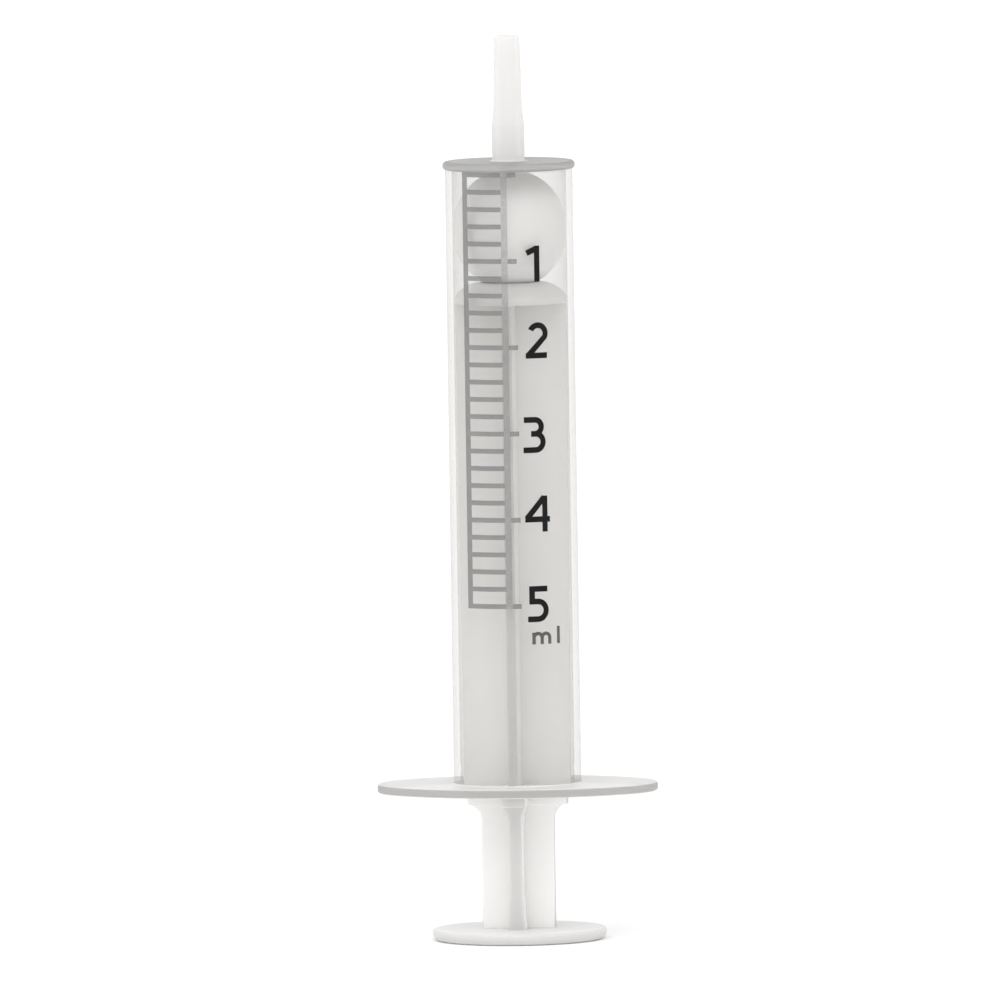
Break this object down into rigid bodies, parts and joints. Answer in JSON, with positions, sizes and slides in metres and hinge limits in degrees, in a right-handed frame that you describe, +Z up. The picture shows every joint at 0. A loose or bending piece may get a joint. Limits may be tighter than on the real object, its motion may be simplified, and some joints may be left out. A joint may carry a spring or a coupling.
{
  "type": "oral syringe",
  "caption": "Slip-tip oral syringe: clear tube with an oval finger flange, a blunt nozzle and a printed scale; a cross-shaped plunger rod with a thumb rest and a ball-shaped seal slides in it.",
  "frame": {"origin": "centre of the thumb rest's flat underside, where the syringe stands", "axes": "+Z up the bore axis towards the nozzle's tip, +X along the long way of the finger flange, -Y out of the side with the printed scale"},
  "size_m": [0.0292, 0.02, 0.0944],
  "materials": {
    "clear_polypropylene": "translucent, smooth",
    "white_polyethylene": "satin",
    "seal_elastomer": "satin",
    "scale_ink": "thin grey ink",
    "numeral_ink": "thin black ink",
    "unit_ink": "thin dark grey ink"
  },
  "bodies": {
    "plunger": {"plunger_rod": "white_polyethylene"},
    "seal": {"plunger_seal": "seal_elastomer"},
    "barrel": {"barrel": "clear_polypropylene", "scale_lines": "scale_ink", "numeral_1": "numeral_ink", "numeral_2": "numeral_ink", "numeral_3": "numeral_ink", "numeral_4": "numeral_ink", "numeral_5": "numeral_ink", "letter_m": "unit_ink", "letter_l": "unit_ink"}
  },
  "joints": [
    {"name": "rod_twist", "type": "hinge", "parent": "plunger", "child": "seal", "pos_m": [0, 0, 0.0725], "axis": [0, 0, 1], "continuous": true},
    {"name": "plunger_slide", "type": "slide", "parent": "seal", "child": "barrel", "axis": [0, 0, 1], "range_m": [0, 0.0546]}
  ]
}
